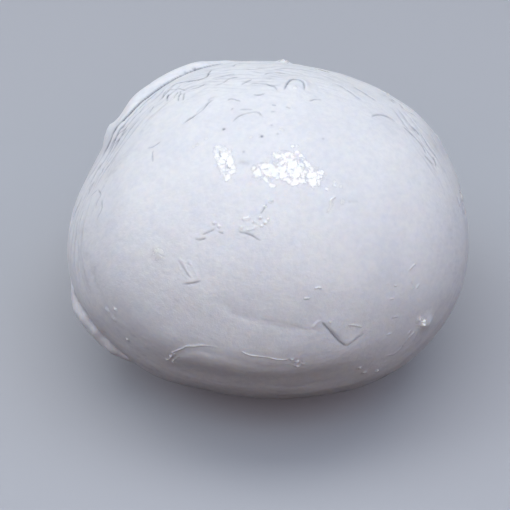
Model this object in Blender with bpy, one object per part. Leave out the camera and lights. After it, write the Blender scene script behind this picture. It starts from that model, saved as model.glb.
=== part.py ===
"""A ball of fresh mozzarella of about 250 g, pinched off by hand, standing on its pressed-flat underside.

The ball is one closed skin. A cube is cut into a grid and pushed out to a unit sphere, and that grid is
cut finer along the folds. Each point of it is then a direction out of the ball's middle, and the
functions below work out how far out the skin lies there: an ellipsoid, its broad swells and hollows,
the folds where one flap of skin laps on the next, and the flat that its own weight presses on its
underside.

A direction is an (azimuth, latitude) pair in degrees. Azimuth 0 faces the front, -Y, and 90 faces +X.
Sizes are in metres, and +Z is up.
"""

import math
from dataclasses import dataclass

import bmesh
import bpy
import numpy as np

MM = 0.001

# Driving dimensions of the ball.
WIDTH = 86 * MM  # side to side
DEPTH = 80 * MM  # front to back
CROWN = 67 * MM  # top to bottom, before the underside is pressed flat
STAND = 31 * MM  # from the table up to the ball's middle
PRESS = 1.0 * MM  # how far over the table the flat turns up into the side
HALF_SIZES = np.array([WIDTH, DEPTH, CROWN]) / 2

# Density of the skin's grid.
GRID_CUTS = 15  # cuts across each face of the starting cube
FIRST_REACH = 7 * MM  # cut once more within this distance of a fold
SECOND_REACH = 3 * MM  # and once again within this one
PATH_STEP = 0.5 * MM  # between the points along a fold's path
CREASE_ROUND = 0.7 * MM  # radius at the bottom of a crease

# The skin's look.
SKIN_COLOUR = (0.80, 0.81, 0.83, 1.0)
SKIN_ROUGHNESS = 0.28


@dataclass(frozen=True)
class Swell:
    """A round swell of the skin, or a hollow where its height is negative."""

    at: tuple
    spread: float
    height: float


@dataclass(frozen=True)
class Fold:
    """A crease along a path, where the flap on the path's left laps over the skin on its right."""

    path: tuple
    depth: float  # of the crease line, below the skin around it
    width: float  # over which the skin on the right dips into the crease
    lap: float  # height that the flap stands up on the left
    reach: float  # how far back the flap's swell goes
    edge: float = 1.6 * MM  # radius of the flap's rolled lip
    fade: float = 0.18  # part of the path over which each end dies away


BROAD_SWELLS = {
    "left cheek": Swell(at=(-96, 28), spread=10 * MM, height=-3.2 * MM),
    "left shoulder": Swell(at=(-112, 37), spread=4 * MM, height=0.9 * MM),
    "left foot": Swell(at=(-66, -17), spread=7 * MM, height=1.6 * MM),
    "right hip": Swell(at=(50, -26), spread=15 * MM, height=1.4 * MM),
    "right shoulder": Swell(at=(112, 34), spread=9 * MM, height=0.9 * MM),
    "front belly": Swell(at=(-14, -38), spread=16 * MM, height=-1.0 * MM),
}

SMALL_SWELLS = {
    "crown nub": Swell(at=(146, 77), spread=1.9 * MM, height=1.0 * MM),
    "back nib": Swell(at=(174, 50), spread=0.9 * MM, height=0.8 * MM),
    "side crumb": Swell(at=(47, -4), spread=1.1 * MM, height=0.8 * MM),
}

FOLDS = {
    # The front of the roll of skin that was twisted off, up the left side and over to the back.
    "pinch seam": Fold(
        path=((-84, 2), (-87, 20), (-94, 36), (-108, 43), (-124, 46), (-142, 49), (-160, 52), (-178, 50)),
        depth=0.9 * MM,
        width=1.8 * MM,
        lap=2.1 * MM,
        reach=8 * MM,
    ),
    # The back of that roll, where it settles into the skin behind it.
    "roll back": Fold(
        path=((-176, 27), (-156, 24), (-137, 16), (-120, 5), (-106, -8)),
        depth=0.5 * MM,
        width=2.2 * MM,
        lap=0.5 * MM,
        reach=6 * MM,
        fade=0.3,
    ),
    # From the front foot of the ball up to its left side.
    "foot lobe": Fold(
        path=((-44, -27), (-52, -22), (-61, -15), (-69, -8), (-76, 0)),
        depth=0.7 * MM,
        width=1.3 * MM,
        lap=2.0 * MM,
        reach=7 * MM,
        fade=0.25,
    ),
    # A sagging lip low on the front, with its lower side standing out.
    "lower lip": Fold(
        path=((9, -2), (2, -4), (-6, -2), (-15, 0), (-22, -2), (-29, -11)),
        depth=0.4 * MM,
        width=1.6 * MM,
        lap=0.5 * MM,
        reach=3 * MM,
    ),
    # The long seam over the front, up to the loose corner of skin.
    "front seam": Fold(
        path=((15, 10), (6, 10), (-3, 12), (-10, 14), (-15, 20)),
        depth=0.35 * MM,
        width=1.4 * MM,
        lap=0.25 * MM,
        reach=3 * MM,
    ),
    "loose corner": Fold(
        path=((27, 3), (22, -1), (18, 4), (14, 11)),
        depth=0.5 * MM,
        width=1.2 * MM,
        lap=0.6 * MM,
        reach=4 * MM,
    ),
    # A tuck high on the left shoulder.
    "shoulder tuck": Fold(
        path=((-70, 60), (-80, 66), (-92, 71), (-106, 74)),
        depth=0.4 * MM,
        width=1.4 * MM,
        lap=0.3 * MM,
        reach=3 * MM,
    ),
}


def direction(azimuth, latitude):
    """The unit vector that an (azimuth, latitude) pair in degrees stands for."""
    turn, rise = math.radians(azimuth), math.radians(latitude)
    flat = math.cos(rise)
    return np.array([math.sin(turn) * flat, -math.cos(turn) * flat, math.sin(rise)])


def unit(vectors):
    """The same vectors at length 1."""
    return vectors / np.linalg.norm(vectors, axis=-1, keepdims=True)


def egg(directions):
    """The points of the plain ellipsoid in these directions."""
    return directions * HALF_SIZES


def egg_normals(directions):
    """The ellipsoid's outward normals in these directions."""
    return unit(directions / HALF_SIZES)


def smooth_path(pairs):
    """Even points, PATH_STEP apart, along a smooth curve on the ellipsoid through (azimuth, latitude) pairs."""
    knots = np.array([direction(*pair) for pair in pairs])
    padded = np.vstack([2 * knots[0] - knots[1], knots, 2 * knots[-1] - knots[-2]])
    pieces = []
    for before, start, end, after in zip(padded, padded[1:], padded[2:], padded[3:]):
        t = np.linspace(0, 1, 60, endpoint=False)[:, None]
        pieces.append(
            start
            + 0.5 * t * (end - before)
            + t**2 * (before - 2.5 * start + 2 * end - 0.5 * after)
            + t**3 * 0.5 * (3 * start - before - 3 * end + after)
        )
    curve = egg(unit(np.vstack([*pieces, knots[-1:]])))
    lengths = np.concatenate([[0], np.cumsum(np.linalg.norm(np.diff(curve, axis=0), axis=1))])
    marks = np.linspace(0, lengths[-1], max(int(lengths[-1] / PATH_STEP), 4))
    return np.stack([np.interp(marks, lengths, curve[:, axis]) for axis in range(3)], axis=1)


def beside_path(points, path):
    """How far each point lies to the left of the path (right is negative), and where along it, 0 to 1."""
    nearest = np.linalg.norm(points[:, None] - path[None], axis=2).argmin(axis=1)
    forward = unit(np.gradient(path, axis=0))[nearest]
    outward = egg_normals(path / HALF_SIZES)[nearest]
    gaps = points - path[nearest]
    left = np.einsum("ij,ij->i", gaps, np.cross(outward, forward))
    along = nearest * PATH_STEP + np.einsum("ij,ij->i", gaps, forward)
    return left, np.clip(along / (PATH_STEP * (len(path) - 1)), 0, 1)


def ease(value):
    """0 up to 1 with level ends, for a value from 0 to 1."""
    value = np.clip(value, 0, 1)
    return value * value * (3 - 2 * value)


def swell_height(points, swell):
    """What a swell adds to the skin at these points of the ellipsoid."""
    away = np.linalg.norm(points - egg(direction(*swell.at)), axis=1)
    return swell.height * np.exp(-0.5 * (away / swell.spread) ** 2)


def fold_height(points, fold):
    """What a fold adds to the skin: a dip on the right of its path and a rolled, fading flap on the left."""
    left, along = beside_path(points, smooth_path(fold.path))
    away = np.hypot(left, CREASE_ROUND) - CREASE_ROUND
    right_side = -fold.depth * np.exp(-away / fold.width)
    lip = 1 - np.exp(-away / fold.edge)
    flap = fold.lap * lip * np.exp(-((left / fold.reach) ** 2))
    left_side = flap - fold.depth * (1 - lip)
    strength = ease(along / fold.fade) * ease((1 - along) / fold.fade)
    return strength * np.where(left > 0, left_side, right_side)


def skin(directions):
    """The points of the ball's skin in these directions out of its middle."""
    points = egg(directions)
    height = np.zeros(len(points))
    for swell in [*BROAD_SWELLS.values(), *SMALL_SWELLS.values()]:
        height = height + swell_height(points, swell)
    for fold in FOLDS.values():
        height = height + fold_height(points, fold)
    return press_flat(points + egg_normals(directions) * height[:, None])


def press_flat(points):
    """Presses what lies under the table flat on to it, turning up over PRESS into the side."""
    above = points[:, 2] + STAND
    turning = (above + PRESS) ** 2 / (4 * PRESS)
    points[:, 2] = np.where(above < -PRESS, 0, np.where(above > PRESS, above, turning))
    return points


def detail_distance(directions):
    """Distance from each direction's point to the nearest fold or small swell."""
    points = egg(directions)
    paths = [smooth_path(fold.path) for fold in FOLDS.values()]
    paths += [egg(direction(*swell.at))[None] for swell in SMALL_SWELLS.values()]
    gaps = [np.linalg.norm(points[:, None] - path[None], axis=2).min(axis=1) for path in paths]
    return np.min(gaps, axis=0)


def positions(mesh):
    """The mesh's points as an array."""
    return np.array([vertex.co for vertex in mesh.verts])


def place(mesh, points):
    """Moves the mesh's points to these ones."""
    for vertex, point in zip(mesh.verts, points):
        vertex.co = point


def round_grid(mesh):
    """Makes the mesh a unit sphere, cut into an even grid of near-square faces."""
    bmesh.ops.create_cube(mesh, size=2)
    bmesh.ops.subdivide_edges(mesh, edges=mesh.edges[:], cuts=GRID_CUTS, use_grid_fill=True)
    place(mesh, unit(np.tan(positions(mesh) * math.pi / 4)))


def cut_finer(mesh, reach):
    """Halves every edge within reach of a detail, and keeps the new points on the sphere."""
    middles = unit(np.array([sum((vertex.co for vertex in edge.verts), start=edge.verts[0].co * 0)
                             for edge in mesh.edges]))
    near = detail_distance(middles) < reach
    edges = [edge for edge, chosen in zip(mesh.edges, near) if chosen]
    bmesh.ops.subdivide_edges(mesh, edges=edges, cuts=1, use_grid_fill=True)
    bmesh.ops.triangulate(mesh, faces=mesh.faces[:])
    place(mesh, unit(positions(mesh)))


def stand_on_origin(points):
    """Moves the points so that the middle of their box's underside is the origin."""
    low, high = points.min(axis=0), points.max(axis=0)
    return points - [(low[0] + high[0]) / 2, (low[1] + high[1]) / 2, low[2]]


def skin_material():
    """The moist, milk-white skin."""
    material = bpy.data.materials.new("mozzarella_skin")
    material.use_nodes = True
    shader = material.node_tree.nodes["Principled BSDF"]
    shader.inputs["Base Color"].default_value = SKIN_COLOUR
    shader.inputs["Roughness"].default_value = SKIN_ROUGHNESS
    shader.inputs["Metallic"].default_value = 0.0
    return material


def make_ball():
    """The ball as one smooth-shaded object."""
    mesh = bmesh.new()
    round_grid(mesh)
    cut_finer(mesh, FIRST_REACH)
    cut_finer(mesh, SECOND_REACH)
    place(mesh, stand_on_origin(skin(positions(mesh))))
    data = bpy.data.meshes.new("mozzarella_ball")
    mesh.to_mesh(data)
    mesh.free()
    data.shade_smooth()
    data.materials.append(skin_material())
    return bpy.data.objects.new("mozzarella_ball", data)


def clear_scene():
    """Removes what the scene already holds."""
    for thing in list(bpy.data.objects):
        bpy.data.objects.remove(thing, do_unlink=True)


def main():
    """Builds the ball in a collection of its own."""
    clear_scene()
    collection = bpy.data.collections.new("mozzarella_ball")
    bpy.context.scene.collection.children.link(collection)
    collection.objects.link(make_ball())


main()
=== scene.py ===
"""A ball of fresh mozzarella, dressed: its drawn and folded skin, the whey on it, a table and a studio.

The ball is one closed skin. A cube is cut into an even grid and pushed out to a sphere, and the grid is
cut finer where a fold or a fine line runs. Each point of it is a direction out of the ball's middle.
The folds, threads, beads and stretch lines each add to how far out the skin stands there, and a flap
that laps over its crease also slides a little way across it.

A place on the skin is an (azimuth, latitude) pair in degrees. Azimuth 0 faces the front, -Y, and 90
faces +X. Sizes are in millimetres until the mesh is made, in metres, with +Z up.
"""

import logging
import math
from dataclasses import dataclass, field
from enum import Enum

import bmesh
import bpy
import numpy as np
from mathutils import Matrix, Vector, noise


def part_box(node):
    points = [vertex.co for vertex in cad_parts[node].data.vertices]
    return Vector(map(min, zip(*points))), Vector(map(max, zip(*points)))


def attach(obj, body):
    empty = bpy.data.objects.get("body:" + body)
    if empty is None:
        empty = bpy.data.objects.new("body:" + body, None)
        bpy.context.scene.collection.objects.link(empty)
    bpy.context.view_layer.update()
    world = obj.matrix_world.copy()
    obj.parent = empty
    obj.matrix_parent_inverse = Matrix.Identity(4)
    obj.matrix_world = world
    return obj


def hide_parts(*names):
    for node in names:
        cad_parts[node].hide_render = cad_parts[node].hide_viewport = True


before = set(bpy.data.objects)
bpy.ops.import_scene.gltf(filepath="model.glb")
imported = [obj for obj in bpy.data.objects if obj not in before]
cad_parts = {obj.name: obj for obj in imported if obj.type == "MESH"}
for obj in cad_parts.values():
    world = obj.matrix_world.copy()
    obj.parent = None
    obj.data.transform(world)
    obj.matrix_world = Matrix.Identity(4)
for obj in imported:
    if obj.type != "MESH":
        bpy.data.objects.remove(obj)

log = logging.getLogger("mozzarella")

MM = 0.001
BALL = "mozzarella_ball"

# The ball's own sizes, in millimetres, the same as its solid's.
HALF_SIZES = np.array([86.0, 80.0, 67.0]) / 2  # width, depth and crown
STAND = 31.0  # from the table up to the ball's middle
PRESS = 1.0  # how far over the table the flat turns up into the side
OFF_MIDDLE = np.array([-0.04, 0.82])  # from the middle of the footprint to the ellipsoid's
STRETCH_AXIS = (0.0, 42.0)  # the skin was drawn back from this place as the ball was pinched off

Place = tuple[float, float]
Path = tuple[Place, ...]


class Rise(Enum):
    """Which way a fine mark goes from the skin round it."""

    OUT = 1.0
    IN = -1.0


def direction(place: Place) -> np.ndarray:
    """The unit vector out of the middle towards a place.

    Args:
        place: azimuth and latitude in degrees.

    Returns:
        Three numbers, x, y and z.
    """
    turn, rise = math.radians(place[0]), math.radians(place[1])
    flat = math.cos(rise)
    return np.array([math.sin(turn) * flat, -math.cos(turn) * flat, math.sin(rise)])


def unit(vectors: np.ndarray) -> np.ndarray:
    """The same vectors at length 1."""
    return vectors / np.linalg.norm(vectors, axis=-1, keepdims=True)


def egg_normals(directions: np.ndarray) -> np.ndarray:
    """The plain ellipsoid's outward normals in these directions."""
    return unit(directions / HALF_SIZES)


def ease(value: np.ndarray) -> np.ndarray:
    """0 up to 1 with level ends, for values from 0 to 1."""
    value = np.clip(value, 0, 1)
    return value * value * (3 - 2 * value)


def smooth_path(path: Path, step: float) -> np.ndarray:
    """Even points along a smooth curve on the ellipsoid.

    Args:
        path: the places that the curve goes through.
        step: the gap between two points, in millimetres.

    Returns:
        The points, one row each.
    """
    knots = np.array([direction(place) for place in path])
    padded = np.vstack([2 * knots[0] - knots[1], knots, 2 * knots[-1] - knots[-2]])
    pieces = []
    for before, start, end, after in zip(padded, padded[1:], padded[2:], padded[3:]):
        t = np.linspace(0, 1, 40, endpoint=False)[:, None]
        pieces.append(
            start
            + 0.5 * t * (end - before)
            + t**2 * (before - 2.5 * start + 2 * end - 0.5 * after)
            + t**3 * 0.5 * (3 * start - before - 3 * end + after)
        )
    curve = unit(np.vstack([*pieces, knots[-1:]])) * HALF_SIZES
    lengths = np.concatenate([[0], np.cumsum(np.linalg.norm(np.diff(curve, axis=0), axis=1))])
    marks = np.linspace(0, lengths[-1], max(int(lengths[-1] / step), 4))
    return np.stack([np.interp(marks, lengths, curve[:, axis]) for axis in range(3)], axis=1)


def cloud(points: np.ndarray, lump: float, start: float) -> np.ndarray:
    """Smooth, uneven values from about -1 to 1.

    Args:
        points: where to read them, in millimetres.
        lump: the size of one lump, in millimetres.
        start: where in the pattern to start, so that two clouds differ.

    Returns:
        One value for each point.
    """
    shift = Vector((start, 1.7 * start, -start))
    return np.array([noise.noise(Vector(point) + shift) for point in points / lump])


@dataclass
class Relief:
    """What the marks add to the skin, at each point of the grid."""

    directions: np.ndarray
    points: np.ndarray = field(init=False)
    outward: np.ndarray = field(init=False)
    height: np.ndarray = field(init=False)
    slide: np.ndarray = field(init=False)
    # how much shade is painted at each point, down in creases and pits
    crease: np.ndarray = field(init=False)
    # how much whey film lies there: it gives clear gloss, and a highlight painted white under it
    film: np.ndarray = field(init=False)
    drawn: np.ndarray = field(init=False)

    def __post_init__(self) -> None:
        """Starts from the plain ellipsoid."""
        count = len(self.directions)
        self.points = self.directions * HALF_SIZES
        self.outward = egg_normals(self.directions)
        self.height, self.crease, self.film = np.zeros(count), np.zeros(count), np.zeros(count)
        self.slide = np.zeros((count, 3))
        self.drawn = self.stretch_places()

    def stretch_places(self) -> np.ndarray:
        """Places measured away from the stretch axis and round it.

        Returns:
            For each point the arc length away from the axis, then where it lies round it as two
            numbers, all in millimetres, so that a pattern on them has no seam.
        """
        axis = direction(STRETCH_AXIS)
        away = np.arccos(np.clip(self.directions @ axis, -1, 1))
        sideways = np.cross(axis, [0.0, 0.0, 1.0])
        sideways = sideways / np.linalg.norm(sideways)
        turn = np.arctan2(self.directions @ np.cross(axis, sideways), self.directions @ sideways)
        size = HALF_SIZES.mean()
        return np.stack([away * size, np.cos(turn) * size, np.sin(turn) * size], axis=1)

    def beside(self, line: np.ndarray, reach: float) -> tuple[np.ndarray, ...]:
        """How the points near a line lie to it.

        Args:
            line: even points along the line.
            reach: how far from it the points may lie.

        Returns:
            The near points' numbers, how far each lies to the left (right is negative), how far along
            the line, from 0 to 1, and the direction that is left there.
        """
        middle = line.mean(axis=0)
        span = np.linalg.norm(line - middle, axis=1).max() + reach
        chosen = np.flatnonzero(np.linalg.norm(self.points - middle, axis=1) < span)
        points = self.points[chosen]
        nearest = ((line**2).sum(axis=1) - 2 * points @ line.T).argmin(axis=1)
        gaps = points - line[nearest]
        close = np.linalg.norm(gaps, axis=1) < reach
        chosen, nearest, gaps = chosen[close], nearest[close], gaps[close]
        forward = unit(np.gradient(line, axis=0))[nearest]
        leftward = np.cross(egg_normals(line / HALF_SIZES)[nearest], forward)
        left = np.einsum("ij,ij->i", gaps, leftward)
        ahead = np.einsum("ij,ij->i", gaps, forward)
        step = np.linalg.norm(line[-1] - line[-2])
        along = np.clip((nearest * step + ahead) / (step * (len(line) - 1)), 0, 1)
        return chosen, left, along, leftward

    def gather(self, path: Path, wander: float, reach: float = 0.34) -> None:
        """Draws the points beside a line in towards it, so that its bottom is crisp.

        Args:
            path: the line's path.
            wander: how far the line strays from its path.
            reach: how far from the line the points are drawn in.
        """
        chosen, left, along, leftward = self.beside(smooth_path(path, 0.2), 1.0)
        strayed = left + wander * cloud(self.points[chosen], 2.1, 40.0)
        inside = (np.abs(strayed) < reach) & (along > 0) & (along < 1)
        chosen, strayed, leftward = chosen[inside], strayed[inside], leftward[inside]
        moved = (strayed * np.abs(strayed) / reach - strayed)[:, None] * leftward
        self.directions[chosen] = unit((self.points[chosen] + 0.8 * moved) / HALF_SIZES)
        self.points[chosen] = self.directions[chosen] * HALF_SIZES
        self.outward[chosen] = egg_normals(self.directions[chosen])

    def settled(self) -> np.ndarray:
        """The finished points, with what lies under the table pressed flat on to it.

        Returns:
            The points in millimetres, before the ball is set on its footprint.
        """
        points = self.points + self.outward * self.height[:, None] + self.slide
        above = points[:, 2] + STAND
        turning = (above + PRESS) ** 2 / (4 * PRESS)
        points[:, 2] = np.where(above < -PRESS, 0, np.where(above > PRESS, above, turning))
        return points


@dataclass(frozen=True)
class Swell:
    """A round swell of the skin, or a hollow where its height is negative."""

    at: Place
    spread: float
    height: float

    def shape(self, relief: Relief) -> None:
        """Adds the swell to the skin."""
        away = np.linalg.norm(relief.points - direction(self.at) * HALF_SIZES, axis=1)
        relief.height += self.height * np.exp(-0.5 * (away / self.spread) ** 2)


@dataclass(frozen=True)
class Fold:
    """A crease along a path, where the flap on the path's left laps over the skin on its right."""

    path: Path
    depth: float  # of the crease line, below the skin around it
    width: float  # over which the skin on the right dips into the crease
    lap: float  # height that the flap stands up on the left
    reach: float  # how far back the flap's swell goes
    edge: float = 1.2  # radius of the flap's rolled lip
    fade: float = 0.18  # part of the path over which each end dies away
    tuck: float = 0.3  # how far the lip leans over the crease
    lines: float = 0.3  # how deep the hairline at the bottom of the crease is; it also sets how much shade is painted along it
    wander: float = 0.5  # how far the crease strays from its path
    round: float = 0.15  # radius at the bottom of the crease

    def shape(self, relief: Relief) -> None:
        """Adds the fold to the skin, with a hairline at the bottom of its crease and shade painted along it."""
        line = smooth_path(self.path, 0.4)
        chosen, left, along, leftward = relief.beside(line, 4 * self.reach)
        left = left + self.wander * cloud(relief.points[chosen], 2.1, 40.0)
        away = np.hypot(left, self.round) - self.round
        right_side = -self.depth * np.exp(-away / self.width)
        lip = 1 - np.exp(-away / self.edge)
        flap = self.lap * lip * np.exp(-((left / self.reach) ** 2))
        left_side = flap - self.depth * (1 - lip)
        strength = ease(along / self.fade) * ease((1 - along) / self.fade)
        hairline = np.exp(-((left / 0.18) ** 2))
        relief.height[chosen] += strength * np.where(left > 0, left_side, right_side)
        relief.height[chosen] -= strength * self.lines * hairline
        lean = np.clip(left, 0, None) / self.edge
        lean = strength * self.tuck * lean * np.exp(1 - lean)
        relief.slide[chosen] -= lean[:, None] * leftward
        # painted shade along the hairline
        relief.crease[chosen] += strength * hairline * min(self.lines / 0.3, 1.0)


@dataclass(frozen=True)
class Thread:
    """A fine line on the skin: a hairline crease, a scratch, or a thin raised edge."""

    path: Path
    rise: Rise = Rise.IN
    height: float = 0.15
    width: float = 0.18
    lip: float = 0.0  # height that the skin stands up along the left of the line
    lip_reach: float = 0.5  # how far back the lip is highest
    fade: float = 0.25
    wander: float = 0.25  # how far the line strays from its path
    broken: float = 0.6  # how much of its depth is lost where it comes and goes
    ink: float = 0.5  # how dark the shade painted into a crease is, or how much whey film, with its gloss and painted white highlight, lies on a raised edge

    def shape(self, relief: Relief) -> None:
        """Adds the line to the skin. It wanders a little, and its depth comes and goes."""
        line = smooth_path(self.path, 0.2)
        chosen, left, along, _ = relief.beside(line, 5 * max(self.lip_reach, self.width))
        near = relief.points[chosen]
        left = left + self.wander * cloud(near, 2.1, 40.0)
        strength = ease(along / self.fade) * ease((1 - along) / self.fade)
        strength = strength * (1 - self.broken * ease(0.5 + 1.6 * cloud(near, 1.7, 47.0)))
        profile = np.exp(-((left / self.width) ** 2))
        beyond = np.clip(left, 0, None) / self.lip_reach
        lip = self.lip * beyond * np.exp(1 - beyond)
        relief.height[chosen] += strength * (self.rise.value * self.height * profile + lip)
        if self.rise is Rise.IN:
            # painted shade down the crease
            relief.crease[chosen] += strength * profile * self.ink
            relief.film[chosen] -= strength * profile
        else:
            # whey film on the raised edge: clear gloss, with a highlight painted white under it
            relief.film[chosen] += strength * np.sqrt(profile) * 3 * self.ink


@dataclass(frozen=True)
class Bead:
    """A tiny bead of curd on the skin, or a pit in it."""

    at: Place
    height: float = 0.25
    spread: float = 0.35

    def shape(self, relief: Relief) -> None:
        """Adds the bead or pit to the skin."""
        away = np.linalg.norm(relief.points - direction(self.at) * HALF_SIZES, axis=1)
        profile = np.exp(-0.5 * (away / self.spread) ** 2)
        relief.height += self.height * profile
        # a pit has shade painted into it
        relief.crease += profile * max(-self.height / 0.2, 0.0)
        # a bead carries whey film: clear gloss, with a highlight painted white under it
        relief.film += 3 * np.sqrt(profile) * max(self.height / 0.2, 0.0)


@dataclass(frozen=True)
class Crumble:
    """A small patch where the skin is torn into crumbs."""

    at: Place
    spread: float
    height: float = 0.2
    lump: float = 0.5

    def shape(self, relief: Relief) -> None:
        """Adds the crumbs to the skin."""
        away = np.linalg.norm(relief.points - direction(self.at) * HALF_SIZES, axis=1)
        chosen = np.flatnonzero(away < 3 * self.spread)
        fades = np.exp(-0.5 * (away[chosen] / self.spread) ** 2)
        lumps = cloud(relief.points[chosen], self.lump, 53.0)
        folds = cloud(relief.points[chosen] * [1.0, 1.0, 2.2], 1.1, 59.0)
        relief.height[chosen] += fades * self.height * (lumps + 1.2 * np.exp(-np.abs(folds) / 0.1) - 0.3)


@dataclass(frozen=True)
class Strands:
    """A band of skin that was drawn into strands along a path."""

    path: Path
    reach: float  # half the width of the band
    across: float = 2.4  # from one crease to the next
    run: float = 9.0  # how far a crease runs before it fades
    depth: float = 0.3
    width: float = 0.32  # of a crease
    # how dark the shade painted into each crease is
    ink: float = 0.7
    start: float = 61.0  # where in the patterns to start

    def shape(self, relief: Relief) -> None:
        """Adds the strands to the skin, and a crease between each two with shade painted down it."""
        line = smooth_path(self.path, 0.4)
        chosen, left, along, _ = relief.beside(line, self.reach)
        near = relief.points[chosen]
        strayed = left + 1.2 * cloud(near, 7.0, self.start) + 0.4 * cloud(near, 2.2, self.start)
        number = np.round(strayed / self.across)
        gap = strayed - number * self.across
        places = np.stack([3.7 * number, along * 0.4 * len(line) / self.run, 0 * along], axis=1)
        strength = ease(0.6 + 1.3 * cloud(places, 1.0, self.start))
        strength *= (1 - np.clip(np.abs(left) / self.reach, 0, 1) ** 3) * ease(along / 0.15) * ease((1 - along) / 0.15)
        crease = np.exp(-((gap / self.width) ** 2))
        ridge = 1 - np.exp(-np.abs(gap) / 0.5)
        relief.height[chosen] += strength * self.depth * (0.6 * ridge - crease)
        # shade painted down each crease
        relief.crease[chosen] += strength * crease * self.ink


@dataclass(frozen=True)
class Film:
    """A patch of whey that still lies on the skin as a clear film, with a highlight painted white under it."""

    path: Path  # the middle of the patch, one place or a line of them
    spread: float
    strength: float = 1.0

    def shape(self, relief: Relief) -> None:
        """Adds the patch to the skin's film."""
        middle = smooth_path(self.path, 0.4) if len(self.path) > 1 else direction(self.path[0])[None] * HALF_SIZES
        away = np.linalg.norm(relief.points[:, None] - middle[None, ::2], axis=2).min(axis=1)
        relief.film += self.strength * np.exp(-0.5 * (away / self.spread) ** 2)


Mark = Swell | Fold | Thread | Bead | Crumble | Strands | Film


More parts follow.
